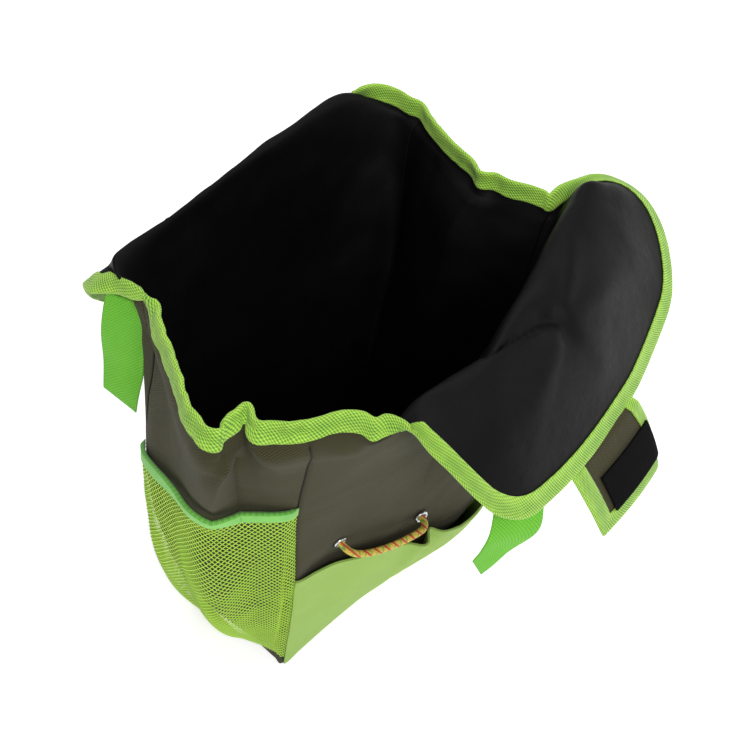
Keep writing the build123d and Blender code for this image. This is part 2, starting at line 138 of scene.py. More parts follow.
RIM = [
    (0, -104, -71, 364), (0.6, -86, -83, 368), (0.95, -78, -92, 368), (1.3, -74, -101, 366),
    (1.5, -69, -104, 368), (1.8, -65, -114, 369), (2.1, -64, -127, 367), (2.4, -64, -141, 361),
    (2.7, -60, -155, 352), (3, -56, -167, 342), (3.35, -50, -179, 330), (3.7, -42, -189, 318),
    (4, -29, -197, 308), (4.3, -14, -201, 302), (4.6, 6, -201, 298), (5, 36, -200, 295),
    (5.4, 66, -197, 293), (5.9, 104, -191, 292), (6.3, 142, -184, 291), (6.7, 174, -175, 292),
    (7, 205, -165, 294), (7.4, 237, -153, 302), (7.8, 256, -139, 312), (8.2, 274, -118, 325),
    (8.5, 280, -101, 337), (8.75, 279, -87, 347), (9, 272, -73, 356), (9.2, 261, -60, 363),
    (9.4, 245, -52, 369), (9.6, 225, -50, 374), (9.85, 203, -46, 375),
    (10, 195, -46, 372), (10.3, 193, -40, 373), (10.7, 188, -28, 374), (11.1, 181, -14, 374),
    (11.5, 179, -1, 374), (11.85, 172, 9, 374), (12.2, 178, 23, 375), (12.6, 181, 38, 375),
    (13.1, 188, 65, 376), (13.5, 194, 81, 377),
    (14, 200, 96, 379), (14.4, 197, 106, 380), (14.7, 196, 117, 381), (15, 192, 127, 382),
    (15.3, 184, 135, 383), (15.6, 172, 139, 383), (16, 164, 156, 362), (16.5, 128, 172, 318),
    (17, 80, 172, 304), (18, 1, 167, 300), (19, -50, 160, 298), (20, -92, 156, 302),
    (20.6, -112, 152, 326), (21, -122, 140, 350), (21.2, -126, 129, 354), (21.4, -122, 118, 359),
    (21.6, -117, 108, 362), (21.8, -115, 95, 365),
    (22, -110, 84, 368), (22.3, -110, 74, 369), (22.5, -113, 70, 368), (22.7, -117, 65, 368),
    (23, -125, 49, 366), (23.3, -133, 33, 366), (23.6, -142, 16, 366), (24, -152, -1, 364),
    (24.4, -156, -16, 363), (24.75, -157, -27, 361), (25, -152, -32, 360),
    (25.15, -148, -30, 361), (25.4, -142, -30, 363), (25.8, -134, -31, 364), (26.1, -127, -31, 365),
    (26.25, -125, -34, 365), (26.4, -128, -39, 364), (26.7, -130, -45, 362),
    (27.2, -123, -54, 362), (27.7, -112, -65, 363),
]
NEAR_LEAN = (-8, -6, -12)      # from the rim's fold down to the edge of its binding
FAR_LEAN = (-5, -4, -13)


def below_rim(first, last, lean):
    """Places under the rim from one u to another, leaning this way."""
    return [(u, x + lean[0], y + lean[1], z + lean[2]) for u, x, y, z in RIM if first <= u <= last]


MIDDLE = (below_rim(0, 1.5, NEAR_LEAN) + FLAP_MIDDLE + below_rim(10, 15, FAR_LEAN) + BACK_MIDDLE
          + below_rim(22.5, 28, NEAR_LEAN))
RINGS = [BASE, LOW, POCKET, NETTING, SHOULDER, CREST, MIDDLE, RIM]
ROW_STEPS = [30, 30, 32, 32, 22, 16, 30]      # points of cloth between each ring and the next
U_STEPS = 20                                   # points of cloth for each whole u

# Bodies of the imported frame, and where cloth turns over from one to the next.
BAG, FRONT_FLAP, BACK_FLAP, TAB = "bag", "front_flap_body", "back_flap_body", "closure_tab_body"
FRONT_FOLD = ((0.0189, -0.1105, 0.37), (0.0256, -0.1489, 0.37))
BACK_FOLD = ((-0.0122, 0.1254, 0.37), (-0.0145, 0.1493, 0.37))


# --- arithmetic on grids ---
# A grid is rows by columns by x, y, z, in millimetres.
SEED_STEP, NOISE_GAIN = 17.3, 1.6


def hermite(places, values, at):
    """Smooth curve through values at uneven places, read at other places."""
    slopes = np.gradient(values, places, axis=0)
    index = np.clip(np.searchsorted(places, at, side="right") - 1, 0, len(places) - 2)
    width = places[index + 1] - places[index]
    t = ((at - places[index]) / width)[:, None]
    width = width[:, None]
    a, b = values[index], values[index + 1]
    ma, mb = slopes[index] * width, slopes[index + 1] * width
    return ((2 * t**3 - 3 * t**2 + 1) * a + (t**3 - 2 * t**2 + t) * ma
            + (3 * t**2 - 2 * t**3) * b + (t**3 - t**2) * mb)


def ring_points(ring, at):
    """A closed ring read at any u."""
    data = np.array(ring, float)
    wrapped = np.vstack([data[-3:] - [ROUND, 0, 0, 0], data, data[:3] + [ROUND, 0, 0, 0]])
    return hermite(wrapped[:, 0], wrapped[:, 1:], at)


def unit(vectors):
    return vectors / np.maximum(np.linalg.norm(vectors, axis=-1, keepdims=True), 1e-9)


def grid_normals(points, closed=False):
    """Outward normals of a grid of rows by columns."""
    if closed:
        along = np.roll(points, -1, axis=1) - np.roll(points, 1, axis=1)
    else:
        along = np.gradient(points, axis=1)
    up = np.gradient(points, axis=0)
    return unit(np.cross(along, up))


def smooth_noise(points, size, seed):
    """Soft bumps between about -1 and 1, this far apart in millimetres."""
    flat = points.reshape(-1, 3) / size + seed * SEED_STEP
    values = [noise.noise(Vector(p)) for p in flat]
    return np.array(values).reshape(points.shape[:-1]) * NOISE_GAIN


def bump(x, centre, width):
    return np.exp(-((x - centre) / width) ** 2)


def ramp(x, start, length):
    """0 before the start, and up to 1 over this length."""
    return np.clip((x - start) / length, 0, 1)


def hump(x, start, length, power):
    """Half a sine wave from this phase, in half turns, made flatter or sharper by the power."""
    return np.sin(math.pi * (start + length * x)) ** power


def travel(points, axis):
    """Mean distance along one axis of a grid, from 0."""
    steps = np.linalg.norm(np.diff(points, axis=axis), axis=-1).mean(axis=1 - axis)
    return np.concatenate([[0], np.cumsum(steps)])


def grid_read(grid, row, column):
    """Bilinear reading of a grid at uneven rows and columns."""
    r = np.clip(row, 0, grid.shape[0] - 1.001)
    c = np.clip(column, 0, grid.shape[1] - 1.001)
    i, j = r.astype(int), c.astype(int)
    a, b = (r - i)[:, None], (c - j)[:, None]
    return ((grid[i, j] * (1 - b) + grid[i, j + 1] * b) * (1 - a)
            + (grid[i + 1, j] * (1 - b) + grid[i + 1, j + 1] * b) * a)


def spread(x, y):
    """Texture places in metres on a grid, from its distances each way in millimetres."""
    return np.stack(np.meshgrid(x * MM, y * MM), axis=-1)


def cloth_uv(points):
    """Texture places by distance along the cloth each way."""
    return spread(travel(points, 1), travel(points, 0))


# --- the whole cloth ---
TOP = len(ROW_STEPS)          # v runs from 0 at the base to this at the rim, one for each ring
WRINKLES = ((1.3, 55, 1), (0.5, 22, 2))      # height in millimetres, distance apart and seed
CALM_FOOT, CALM_RIM = 0.8, 0.5               # wrinkles fade out over this much v at each end
FLAP_FROM, FLAP_CALM = 4.3, 0.65             # and are this much weaker on the front flap
GATHERS = ((1.0, 11, 5), (0.7, 6, 6))
GATHERED_FROM, GATHERED_OVER = 5.8, 0.8
GATHER_ALL, GATHER_NEAR, GATHER_FLAP = 0.45, 0.75, 0.35


def build_cloth():
    """Middle surface of walls and flaps as one grid, rows from base to rim, closed in u."""
    u = np.arange(0, ROUND * U_STEPS) / U_STEPS
    rings = np.array([ring_points(ring, u) for ring in RINGS])
    v = np.concatenate([np.arange(n) / n + k for k, n in enumerate(ROW_STEPS)] + [[TOP]])
    flat = rings.reshape(len(RINGS), -1)
    points = hermite(np.arange(len(RINGS), dtype=float), flat, v).reshape(len(v), len(u), 3)
    return u, v, points


U, V, CLOTH = build_cloth()
SEAMS = (NEAR_FRONT, RIGHT_FRONT, RIGHT_BACK, LEFT_BACK, ROUND)


def seam_distance(points, u):
    """Distance of each point from the nearest upright seam, across the cloth."""
    best = np.full(points.shape[:2], 1e6)
    for seam in SEAMS[:-1]:
        column = points[:, int(seam * U_STEPS) % points.shape[1]][:, None]
        best = np.minimum(best, np.linalg.norm(points - column, axis=-1))
    return best


def layered_noise(points, layers):
    return sum(height * smooth_noise(points, size, seed) for height, size, seed in layers)


def wrinkle(points, normals, u, v):
    """Soft wrinkles all over the cloth, least at its foot, its rim and the front flap."""
    uu, vv = np.meshgrid(u, v)
    free = ramp(vv, 0, CALM_FOOT) * ramp(-vv, -TOP, CALM_RIM)
    free *= np.where((uu > 2) & (uu < 9.5), 1 - FLAP_CALM * ramp(vv, FLAP_FROM, 1), 1)
    return points + normals * (layered_noise(points, WRINKLES) * free)[..., None]


# Sharp folds in the cloth: u, first and last ring, width in u, height in millimetres.
CREASES = [
    (25.2, 2.9, 5.4, 0.25, 9.0), (25.65, 3.0, 5.2, 0.22, -8.0), (26.3, 3.6, 4.9, 0.25, 2.5),
    (24.1, 3.4, 5.0, 0.35, -1.5), (2.6, 3.4, 4.6, 0.5, 2.5), (4.2, 2.2, 4.2, 0.5, -2.5),
    (5.6, 2.4, 4.4, 0.5, 2.5), (11.9, 3.2, 5.6, 0.30, -3.5), (12.9, 3.4, 5.6, 0.4, 2.0),
    (18.2, 3.0, 4.6, 0.20, 1.5), (18.75, 3.2, 4.7, 0.15, -1.5), (19.6, 3.3, 4.7, 0.15, 1.5),
]
# The front flap buckles at one point: a step runs from there to its crest, and ridges run out.
BUCKLE = (5.3, 5.75)
STEP_END = (3.85, 4.95)
RIDGE_ENDS = [((7.3, 5.05), 2.0), ((7.6, 6.4), 2.2), ((4.3, 6.2), 1.8), ((6.2, 6.8), 1.0)]
U_MM, V_MM = 55.0, 45.0          # length of one u and one ring on the flap
CREASE_FADE = 0.6
STEP_DROP, STEP_SLOPE, STEP_FADE = 9.0, 3.0, 20.0
LIP, LIP_FADE = 2.0, 9.0         # raised cloth along the upper side of the step
BUCKLE_DEPTH, BUCKLE_WIDE = 4.0, 11.0
RIDGE_START, RIDGE_SPREAD = 3.0, 10.0


def along_line(uu, vv, start, end):
    """Share of the way from start to end, and distance to its far side, in millimetres."""
    du, dv = (uu - start[0]) * U_MM, (vv - start[1]) * V_MM
    lu, lv = (end[0] - start[0]) * U_MM, (end[1] - start[1]) * V_MM
    length = math.hypot(lu, lv)
    return (du * lu + dv * lv) / length**2, (du * lv - dv * lu) / length


def buckle(uu, vv):
    """How far the front flap sinks below its smooth shape."""
    share, side = along_line(uu, vv, STEP_END, BUCKLE)
    inside = ramp(share, -0.35, 0.3) * ramp(-share, -1.08, 0.2)
    sink = STEP_DROP * ramp(side, 0, STEP_SLOPE) * np.exp(-np.maximum(side, 0) / STEP_FADE) * inside
    sink -= LIP * np.exp(-np.abs(np.minimum(side, 0)) / LIP_FADE) * (side <= 0) * inside
    around = np.hypot((uu - BUCKLE[0]) * U_MM, (vv - BUCKLE[1]) * V_MM)
    sink += BUCKLE_DEPTH * bump(around, 0, BUCKLE_WIDE)
    for end, size in RIDGE_ENDS:
        share, side = along_line(uu, vv, BUCKLE, end)
        inside = ramp(share, 0, 0.1) * ramp(-share, -1.1, 0.5)
        sink -= size * bump(side, 0, RIDGE_START + RIDGE_SPREAD * np.clip(share, 0, 1)) * inside
    return sink


def fold(points, normals, u, v):
    """Sharp creases in the walls, and the front flap's buckle."""
    uu, vv = np.meshgrid(u, v)
    height = np.zeros(uu.shape)
    for at, low, high, wide, size in CREASES:
        inside = ramp(vv, low, CREASE_FADE) * ramp(-vv, -high, CREASE_FADE)
        height += size * np.exp(-np.abs(uu - at) / wide) * inside
    on_flap = (uu > 1.5) & (uu < 9.8) & (vv > 4.2)
    height += np.where(on_flap, buckle(uu, vv) * ramp(-vv, -TOP, CALM_RIM), 0)
    return points + normals * height[..., None]


def pucker(points, normals, u, v):
    """Small gathers along the bound rim, most beside the near gusset and least on the front flap."""
    uu, vv = np.meshgrid(u, v)
    near_rim = ramp(vv, GATHERED_FROM, GATHERED_OVER)
    side = GATHER_ALL + GATHER_NEAR * ramp(uu, 21.5, 1.5) - GATHER_FLAP * ((uu > 2) & (uu < 9.6))
    return points + normals * (layered_noise(points, GATHERS) * near_rim * side)[..., None]


CLOTH = wrinkle(CLOTH, grid_normals(CLOTH, True), U, V)
CLOTH = fold(CLOTH, grid_normals(CLOTH, True), U, V)
CLOTH = pucker(CLOTH, grid_normals(CLOTH, True), U, V)
NORMALS = grid_normals(CLOTH, True)
SEAM_AWAY = seam_distance(CLOTH, U)


# --- mesh making ---
def make_object(name, vertices, faces, uvs, material):
    mesh = bpy.data.meshes.new(name)
    mesh.from_pydata(vertices.tolist(), [], faces)
    layer = mesh.uv_layers.new(name="cloth")
    loops = np.empty(len(mesh.loops), int)
    mesh.loops.foreach_get("vertex_index", loops)
    layer.data.foreach_set("uv", uvs[loops].ravel())
    mesh.polygons.foreach_set("use_smooth", [True] * len(mesh.polygons))
    mesh.materials.append(material)
    mesh.validate()
    mesh.update()
    obj = bpy.data.objects.new(name, mesh)
    bpy.context.collection.objects.link(obj)
    return obj


def grid_faces(rows, columns, start, flip):
    """Quads of a grid whose first vertex is number start."""
    r, c = np.meshgrid(np.arange(rows - 1), np.arange(columns - 1), indexing="ij")
    a = (start + r * columns + c).ravel()
    quads = np.stack([a, a + 1, a + columns + 1, a + columns], axis=1)
    return (quads[:, ::-1] if flip else quads).tolist()


def border(rows, columns):
    """Vertex numbers once round a grid's edge, anticlockwise from its first vertex."""
    bottom = list(range(columns))
    right = [r * columns + columns - 1 for r in range(1, rows)]
    top = [(rows - 1) * columns + c for c in range(columns - 2, -1, -1)]
    left = [r * columns for r in range(rows - 2, 0, -1)]
    return bottom + right + top + left


def sheet_object(name, face, back, uv, material):
    """Closed thin sheet between two grids in millimetres; face looks outwards."""
    rows, columns = face.shape[:2]
    count = rows * columns
    vertices = np.concatenate([face.reshape(-1, 3), back.reshape(-1, 3)]) * MM
    faces = grid_faces(rows, columns, 0, False) + grid_faces(rows, columns, count, True)
    edge = border(rows, columns)
    for a, b in zip(edge, edge[1:] + edge[:1]):
        faces.append([b, a, a + count, b + count])
    uvs = np.concatenate([uv.reshape(-1, 2), uv.reshape(-1, 2)])
    return make_object(name, vertices, faces, uvs, material)


def tube_faces(stations, size, start=0):
    """Faces of a closed tube through rings of points, whose first point is number start."""
    last = start + (stations - 1) * size
    faces = []
    for ring in range(start, last, size):
        for k in range(size):
            n = (k + 1) % size
            faces.append([ring + k, ring + n, ring + size + n, ring + size + k])
    return faces + [list(range(start, start + size))[::-1], list(range(last, last + size))]


def follow(piece, fold):
    """Ride on the bag, or, for a piece that runs onto a flap, stay in place with its transform baked
    into its mesh.
    """
    if fold:
        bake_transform(piece)
    else:
        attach(piece, BAG)


def columns_between(first, last):
    return np.arange(int(first * U_STEPS), int(last * U_STEPS) + 1) % len(U)


# --- materials ---
def srgb(code):
    """Linear colour of a six-figure web colour."""
    parts = [int(code[i:i + 2], 16) / 255 for i in (0, 2, 4)]
    return [c / 12.92 if c <= 0.04045 else ((c + 0.055) / 1.055) ** 2.4 for c in parts] + [1.0]


class Nodes:
    """Short names for building a material's nodes."""

    def __init__(self, name):
        self.material = bpy.data.materials.new(name)
        self.material.use_nodes = True
        self.tree = self.material.node_tree
        self.shader = self.tree.nodes["Principled BSDF"]

    def add(self, kind, **settings):
        node = self.tree.nodes.new(kind)
        for key, value in settings.items():
            setattr(node, key, value)
        return node

    def link(self, source, target):
        self.tree.links.new(source, target)

    def give(self, socket, value):
        """A plain value is set on the socket, and anything else is linked to it."""
        if isinstance(value, (int, float, list, tuple)):
            socket.default_value = value
        else:
            self.link(value, socket)

    def math(self, operation, first, second=0.0):
        node = self.add("ShaderNodeMath", operation=operation)
        for socket, value in zip(node.inputs, (first, second)):
            self.give(socket, value)
        return node.outputs[0]

    def uv(self):
        """The two texture coordinates of the cloth, in metres."""
        source = self.add("ShaderNodeUVMap", uv_map="cloth")
        split = self.add("ShaderNodeSeparateXYZ")
        self.link(source.outputs[0], split.inputs[0])
        return split.outputs[0], split.outputs[1]

    def wave(self, value, pitch, phase=0.0):
        """Sine of a length in metres, once each pitch millimetres."""
        turned = self.math("MULTIPLY", value, 2 * math.pi / (pitch * MM))
        return self.math("SINE", self.math("ADD", turned, phase))

    def noise(self, size, detail=3.0, roughness=0.55):
        """Even noise through the object, with bumps about this many millimetres across."""
        place = self.add("ShaderNodeTexCoord")
        node = self.add("ShaderNodeTexNoise")
        self.link(place.outputs["Object"], node.inputs["Vector"])
        node.inputs["Scale"].default_value = 1 / (size * MM)
        node.inputs["Detail"].default_value = detail
        node.inputs["Roughness"].default_value = roughness
        return node.outputs["Fac"]

    def mix(self, factor, first, second):
        node = self.add("ShaderNodeMix", data_type="RGBA")
        for index, value in ((0, factor), (6, first), (7, second)):
            self.give(node.inputs[index], value)
        return node.outputs[2]

    def bump(self, height, distance, strength=1.0, under=None):
        node = self.add("ShaderNodeBump")
        node.inputs["Distance"].default_value = distance * MM
        node.inputs["Strength"].default_value = strength
        self.link(height, node.inputs["Height"])
        if under is not None:
            self.link(under, node.inputs["Normal"])
        return node.outputs[0]

    def finish(self, colour, roughness, normal=None, **sockets):
        self.give(self.shader.inputs["Base Color"], colour)
        self.give(self.shader.inputs["Roughness"], roughness)
        if normal is not None:
            self.link(normal, self.shader.inputs["Normal"])
        for name, value in sockets.items():
            self.shader.inputs[name.replace("_", " ")].default_value = value
        return self.material


def woven(name, light, dark, pitch, depth, roughness=0.8, fade=0.25):
    """Plain weave: threads each way over and under each other, with uneven colour."""
    n = Nodes(name)
    x, y = n.uv()
    over = n.math("MULTIPLY", n.wave(x, pitch), n.wave(y, pitch))
    height = n.math("ADD", n.math("MULTIPLY", over, 0.5), 0.5)
    patches = n.noise(30, 4)
    tone = n.math("ADD", n.math("MULTIPLY", height, 1 - fade), n.math("MULTIPLY", patches, fade))
    colour = n.mix(tone, srgb(dark), srgb(light))
    soft = n.bump(n.noise(9, 3), 0.5, 0.25)
    return n.finish(colour, roughness, n.bump(height, depth, 0.8, soft), Sheen_Weight=0.05,
                    Specular_IOR_Level=0.25)


LEAF_SHADE_BAND = 17.0          # painted shade: a tape is darker in the hollow middle of each leaf and lighter along both edges


def ribbed(name, light, dark, pitch, depth):
    """Tape with ribs that slant across it from each edge."""
    n = Nodes(name)
    x, y = n.uv()
    slant = n.math("ADD", x, n.math("MULTIPLY", y, 0.9))
    ribs = n.wave(slant, pitch)
    threads = n.wave(n.math("SUBTRACT", y, n.math("MULTIPLY", x, 0.25)), pitch * 0.9)
    height = n.math("ADD", n.math("MULTIPLY", ribs, 0.32), n.math("MULTIPLY", threads, 0.18))
    height = n.math("ADD", height, 0.5)
    patches = n.noise(14, 4)
    tone = n.math("ADD", n.math("MULTIPLY", height, 1.1), n.math("MULTIPLY", patches, 0.5))
    # Painted shade and highlight: the tone dips in the middle of each leaf, where the fold is hollow,
    # and rises along both edges.
    tone = n.math("ADD", tone, n.math("MULTIPLY", n.wave(y, LEAF_SHADE_BAND, math.pi / 2), 0.1))
    tone = n.math("SUBTRACT", tone, 0.25)
    colour = n.mix(tone, srgb(dark), srgb(light))
    return n.finish(colour, 0.72, n.bump(height, depth, 0.9), Sheen_Weight=0.2)


def satin(name):
    """Coated black lining with a soft gloss and fine crinkles."""
    n = Nodes(name)
    x, y = n.uv()
    grain = n.math("MULTIPLY", n.wave(x, 0.7), n.wave(y, 0.7))
    crinkle = n.noise(6, 5, 0.65)
    colour = n.mix(n.noise(40, 3), srgb("040405"), srgb("090909"))
    rough = n.math("ADD", n.math("MULTIPLY", crinkle, 0.16), 0.42)
    soft = n.bump(crinkle, 0.8, 0.30)
    return n.finish(colour, rough, n.bump(grain, 0.08, 0.35, soft), Specular_IOR_Level=0.11)


def braided_cord(name):
    """Yellow elastic cord with red and green tracers that wind round it."""
    n = Nodes(name)
    place = n.add("ShaderNodeTexCoord")
    split = n.add("ShaderNodeSeparateXYZ")
    n.link(place.outputs["Object"], split.inputs[0])
    x, y, z = split.outputs
    wound = n.math("ADD", x, n.math("MULTIPLY", z, 0.6))
    red = n.math("GREATER_THAN", n.wave(wound, 7.5), 0.72)
    other_way = n.math("SUBTRACT", x, n.math("MULTIPLY", z, 0.8))
    green = n.math("GREATER_THAN", n.wave(other_way, 5.5), 0.8)
    braid = n.math("MULTIPLY", n.wave(wound, 1.6), n.wave(n.math("SUBTRACT", x, z), 1.6))
    height = n.math("ADD", n.math("MULTIPLY", braid, 0.5), 0.5)
    yellow = n.mix(height, srgb("B99A2E"), srgb("F2D75A"))
    colour = n.mix(red, n.mix(green, yellow, srgb("7DA43A")), srgb("C8452A"))
    return n.finish(colour, 0.65, n.bump(height, 0.35, 0.8), Sheen_Weight=0.1)


def plain(name, code, roughness, **sockets):
    n = Nodes(name)
    return n.finish(srgb(code), roughness, None, **sockets)


def hook_tape(name):
    """Black hook tape, rough and matt with a fine grain."""
    n = Nodes(name)
    grain = n.noise(0.9, 2, 0.7)
    colour = n.mix(grain, srgb("040404"), srgb("121212"))
    return n.finish(colour, 0.95, n.bump(grain, 0.8, 1.0), Specular_IOR_Level=0.06)


def make_materials():
    return {
        "oxford": woven("oxford_cloth", "4E4A2E", "1C1B0D", 2.0, 0.4, 0.88),
        "pocket": woven("pocket_cloth", "ADCC6C", "799F3F", 1.0, 0.18, 0.82),
        "strap": woven("strap_webbing", "80CE38", "46A01E", 3.0, 0.6, 0.7),
        "binding": ribbed("binding_tape", "B0DE4A", "37790F", 2.4, 0.5),
        "elastic": ribbed("elastic_band", "86D656", "52A636", 1.2, 0.2),
        "netting": ribbed("netting", "C6EE40", "9CD22E", 1.5, 0.1),
        "lining": satin("lining_cloth"),
        "cord": braided_cord("cord"),
        "hook": hook_tape("hook_tape"),
        "seam": plain("seam_thread", "17150D", 0.9),
        "metal": plain("eyelet_metal", "C9CDD0", 0.28, Metallic=1.0),
    }


MATERIALS = make_materials()


# --- walls and flaps ---
SEAM_DIP, SEAM_DIP_WIDE = 1.3, 1.8      # the outer cloth is drawn in along each upright seam


def clear_of_floor(points):
    points[..., 2] = np.maximum(points[..., 2], 0.0)
    return points


def panel(name, first, last, side, material, fold, replaced):
    """One wall of outer cloth or lining, with its flap where it has one."""
    columns = columns_between(first, last)
    middle = CLOTH[:, columns]
    normal = NORMALS[:, columns]
    near = np.full(middle.shape[:2], side * LAYER_GAP)
    if side > 0:
        far = near + OUTER_CLOTH - SEAM_DIP * bump(SEAM_AWAY[:, columns], 0, SEAM_DIP_WIDE)
    else:
        far = near - LINING_CLOTH
    face = clear_of_floor(middle + normal * far[..., None])
    back = clear_of_floor(middle + normal * near[..., None])
    if side < 0:
        face, back = face[:, ::-1], back[:, ::-1]
    piece = sheet_object(name, face, back, cloth_uv(face), material)
    follow(piece, fold)
    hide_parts(*replaced)


FRONT = (FRONT_FLAP, FRONT_FOLD)
BACK = (BACK_FLAP, BACK_FOLD)


def make_walls():
    oxford, lining = MATERIALS["oxford"], MATERIALS["lining"]
    spans = [
        ("front", NEAR_FRONT, RIGHT_FRONT, FRONT, "front_panel", ("front_flap",)),
        ("right", RIGHT_FRONT, RIGHT_BACK, None, "right_gusset", ()),
        ("back", RIGHT_BACK, LEFT_BACK, BACK, "back_panel", ("back_flap",)),
        ("left", LEFT_BACK, ROUND, None, "left_gusset", ()),
    ]
    for side, first, last, fold, node, flap in spans:
        panel(node + "_cloth", first, last, 1, oxford, fold, (node,) + flap)
        inner = tuple(name + "_lining" for name in flap)
        panel(side + "_lining_cloth", first, last, -1, lining, fold, (side + "_lining",) + inner)


# --- seams ---
SEAM_RADIUS, SEAM_PROUD = 0.55, 0.8      # proud of the middle surface by this share of the cloth
SEAM_FOOT, SEAM_TOP = 5.0, 350.0
SEAM_STATIONS, SEAM_SIDES = 110, 8


def make_seam(name, u):
    """Raised dark thread line where a wall and a gusset are sewn together."""
    heights = np.linspace(SEAM_FOOT, SEAM_TOP, SEAM_STATIONS)
    line, ways = wall_at(np.full(SEAM_STATIONS, float(u)), heights)
    line = line + ways * OUTER_CLOTH * SEAM_PROUD
    aside = unit(np.cross(unit(np.gradient(line, axis=0)), ways))
    angles = np.arange(SEAM_SIDES) * 2 * math.pi / SEAM_SIDES
    loops = (line[:, None] + SEAM_RADIUS * (np.cos(angles)[None, :, None] * ways[:, None]
                                            + np.sin(angles)[None, :, None] * aside[:, None]))
    points = loops.reshape(-1, 3) * MM
    piece = make_object("seam_" + name, points, tube_faces(SEAM_STATIONS, SEAM_SIDES),
                        np.zeros((len(points), 2)), MATERIALS["seam"])
    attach(piece, BAG)


# --- binding ---
LEAF_ROWS = 26            # rows of cloth below the rim that hold a leaf
LEAF_STEPS = 9
TURN_DEGREES = (30, 60, 90, 120, 150)
TURN_MIDDLE = LEAF_STEPS + len(TURN_DEGREES) // 2


def read_down(grid, travelled, depth):
    """Each column of a grid, read at one distance along it."""
    return np.array([[np.interp(depth, travelled[:, c], grid[:, c, k]) for k in range(3)]
                     for c in range(grid.shape[1])])


def binding(name, first, last, fold, replaced):
    """Tape folded over the rim, following the cloth for the width of its leaves."""
    columns = columns_between(first, last)
    lines = CLOTH[::-1][:LEAF_ROWS, columns]
    ways = NORMALS[::-1][:LEAF_ROWS, columns]
    steps = np.linalg.norm(np.diff(lines, axis=0), axis=-1)
    travelled = np.concatenate([np.zeros((1, len(columns))), np.cumsum(steps, axis=0)])
    outer_leaf, inner_leaf = [], []
    for depth in np.linspace(BINDING_LEAF, 0, LEAF_STEPS):
        place = read_down(lines, travelled, depth)
        way = unit(read_down(ways, travelled, depth))
        outer_leaf.append(place + way * (LAYER_GAP * 2 + OUTER_CLOTH))
        inner_leaf.append(place - way * (LAYER_GAP * 2 + LINING_CLOTH))
    over = unit(lines[0] - lines[2])
    half = (OUTER_CLOTH + LINING_CLOTH) / 2 + 2 * LAYER_GAP
    crown = (outer_leaf[-1] + inner_leaf[-1]) / 2
    turn = [crown + ways[0] * (half * math.cos(angle)) + over * (half * math.sin(angle))
            for angle in map(math.radians, TURN_DEGREES)]
    path = np.array(outer_leaf + turn + inner_leaf[::-1])
    out = unit(np.cross(np.gradient(path, axis=1), np.gradient(path, axis=0)))
    skin = path + out * TAPE
    uv = spread(travel(path[[TURN_MIDDLE]], 1), travel(skin, 0))
    piece = sheet_object(name, skin, path, uv, MATERIALS["binding"])
    follow(piece, fold)
    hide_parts(*replaced)


def make_bindings():
    binding("front_mouth_binding", -3, 12, FRONT, ("left_mouth_binding", "front_flap_binding"))
    binding("back_mouth_binding", 12, 25, BACK, ("right_mouth_binding", "back_flap_binding"))


# --- places on the walls ---
WALL_ROWS = sum(ROW_STEPS[:6])      # rows up to the ring below the rim


def wall_at(u, z):
    """Places and outward ways on the walls at these u's and heights, as arrays of one shape."""
    column = (np.asarray(u, float) % ROUND) * U_STEPS
    low = np.floor(column).astype(int) % len(U)
    high = (low + 1) % len(U)
    part = (column - np.floor(column))[..., None]
    places = np.empty(column.shape + (3,))
    ways = np.empty(column.shape + (3,))
    for index in np.ndindex(column.shape):
        line = (CLOTH[:WALL_ROWS, low[index]] * (1 - part[index])
                + CLOTH[:WALL_ROWS, high[index]] * part[index])
        way = NORMALS[:WALL_ROWS, low[index]]
        for k in range(3):
            places[index + (k,)] = np.interp(z[index], line[:, 2], line[:, k])
            ways[index + (k,)] = np.interp(z[index], line[:, 2], way[:, k])
    return places, unit(ways)


# --- mesh pockets ---
# By share of the way from a pocket's first seam to its last: height of its mouth, and place, width
# and height of its upright folds.
LEFT_MOUTH = [(0, 233), (0.3, 256), (0.5, 266), (0.7, 268), (1, 261)]
RIGHT_MOUTH = [(0, 240), (0.5, 236), (1, 240)]
POCKET_FOOT, POCKET_FOOT_RISE = 16.0, 8.0
LEFT_FOLDS = [(0.22, 0.06, 5), (0.38, 0.07, -5), (0.52, 0.05, 6), (0.66, 0.06, -4), (0.84, 0.045, 3.5),
              (0.94, 0.03, -2)]
RIGHT_FOLDS = [(0.3, 0.08, 3), (0.6, 0.08, -3)]
NETTING_COLUMNS, NETTING_ROWS = 121, 141
NETTING_OFF = 0.8         # clear of the cloth all over, and further by the belly
BELLY_LEAST, BELLY_MORE, BELLY_SIDES = 2.5, 11, 0.85
STRAND_OFF, STRAND_SIDES = 0.28, 4
ELASTIC_ROWS, ELASTIC_PAST = 7, 0.5
ELASTIC_OFF, ROLL_OUT, ROLL_IN = 0.9, 0.5, 0.4
PINCH_STEEP, PINCH_LEAST = 6, 0.2      # the elastic thins towards both of its ends


def make_mesh_surface(first, last, mouth, ripples):
    """Grid of the netting, rows from foot to mouth."""
    s = np.linspace(0, 1, NETTING_COLUMNS)
    top = np.interp(s, *zip(*mouth))
    across, height = np.meshgrid(s, np.linspace(0, 1, NETTING_ROWS))
    foot = POCKET_FOOT + POCKET_FOOT_RISE * np.sin(math.pi * s)
    z = foot + (top - foot) * height
    places, ways = wall_at(first + (last - first) * across, z)
    belly = BELLY_LEAST + BELLY_MORE * hump(height, 0.06, 0.86, 1.3 - 0.5 * height)
    folds = sum(size * bump(across, at, wide) for at, wide, size in ripples)
    folds = folds * hump(height, 0.08, 0.9, 1.6)
    depth = NETTING_OFF + OUTER_CLOTH + hump(across, 0, 1, BELLY_SIDES) * (belly + folds)
    return places + ways * depth[..., None]


